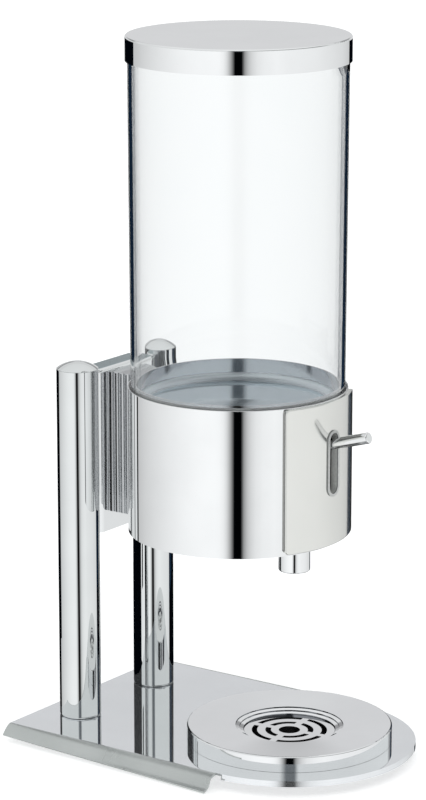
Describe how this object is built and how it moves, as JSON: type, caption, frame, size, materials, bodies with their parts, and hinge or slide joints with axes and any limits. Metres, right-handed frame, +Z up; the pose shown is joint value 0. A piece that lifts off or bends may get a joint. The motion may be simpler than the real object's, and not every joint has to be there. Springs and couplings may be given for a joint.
{
  "type": "juice dispenser",
  "caption": "Free-standing juice dispenser: tapered clear container in a polished steel drum on twin columns, with a push-down lever tap, lid and round drip tray.",
  "frame": {"origin": "middle of the footprint, on the surface that the feet stand on", "axes": "+Z up, -Y the front with the lever, spout and drip tray, +X to the right seen from the front"},
  "size_m": [0.211, 0.2732, 0.5127],
  "materials": {
    "polished_steel": "mirror-polished stainless steel",
    "block_aluminium": "polished",
    "satin_steel": "satin stainless steel",
    "fastener_steel": "plain stainless steel",
    "spring_steel": "drawn wire",
    "clear_plastic": "clear moulded plastic",
    "grey_plastic": "fine satin",
    "white_plastic": "satin",
    "black_plastic": "satin",
    "rotor_plastic": "machined",
    "black_rubber": "matt",
    "silicone": "satin"
  },
  "bodies": {
    "stand": {"base_plate": "polished_steel", "base_feet": "black_rubber", "left_column": "polished_steel", "right_column": "polished_steel", "left_column_cap": "polished_steel", "right_column_cap": "polished_steel", "column_plugs": "satin_steel", "column_bolts": "fastener_steel", "column_washers": "fastener_steel", "back_plate": "polished_steel", "column_inserts": "satin_steel", "back_plate_screws": "fastener_steel", "back_cover": "satin_steel", "back_cover_screws": "fastener_steel", "hanger_block": "block_aluminium", "hanger_screws": "fastener_steel", "shell_screws": "fastener_steel", "housing_shell": "polished_steel", "rim_ring": "silicone", "support_plate": "satin_steel", "pillars": "satin_steel", "bottom_cover": "satin_steel", "bottom_cover_screws": "fastener_steel", "front_panel": "polished_steel", "panel_nuts": "fastener_steel", "slot_bezel": "grey_plastic", "valve_body": "black_plastic", "valve_screws": "fastener_steel", "valve_caps": "black_plastic", "return_spring": "spring_steel", "spout": "polished_steel", "spout_seal": "silicone"},
    "lever": {"valve_rotor": "rotor_plastic", "rotor_seals": "silicone", "lever_yoke": "black_plastic", "yoke_screws": "fastener_steel", "lever_rod": "polished_steel"},
    "juice_container": {"container": "clear_plastic", "container_base": "satin_steel", "base_collar": "satin_steel", "tail_seal": "silicone", "drain_strainer": "satin_steel"},
    "container_lid": {"lid": "polished_steel", "lid_liner": "white_plastic", "lid_seal": "silicone"},
    "tray_pan": {"drip_pan": "black_plastic"},
    "tray_top": {"tray_cover": "polished_steel"},
    "tray_sieve": {"sieve": "polished_steel"}
  },
  "joints": [
    {"name": "tap_lever", "type": "hinge", "parent": "stand", "child": "lever", "pos_m": [0, -0.0497, 0.2244], "axis": [1, 0, 0], "range_deg": [0, 43], "stiffness_Nm_per_rad": 0.3, "springref_deg": -28.65, "deforming": ["return_spring"]},
    {"name": "container_lift", "type": "slide", "parent": "stand", "child": "juice_container", "axis": [0, 0, 1], "range_m": [0, 0.06]},
    {"name": "lid_lift", "type": "slide", "parent": "juice_container", "child": "container_lid", "axis": [0, 0, 1], "range_m": [0, 0.06]},
    {"name": "pan_lift", "type": "slide", "parent": "stand", "child": "tray_pan", "axis": [0, 0, 1], "range_m": [0, 0.04]},
    {"name": "cover_lift", "type": "slide", "parent": "tray_pan", "child": "tray_top", "axis": [0, 0, 1], "range_m": [0, 0.03]},
    {"name": "sieve_lift", "type": "slide", "parent": "tray_top", "child": "tray_sieve", "axis": [0, 0, 1], "range_m": [0, 0.03]}
  ]
}
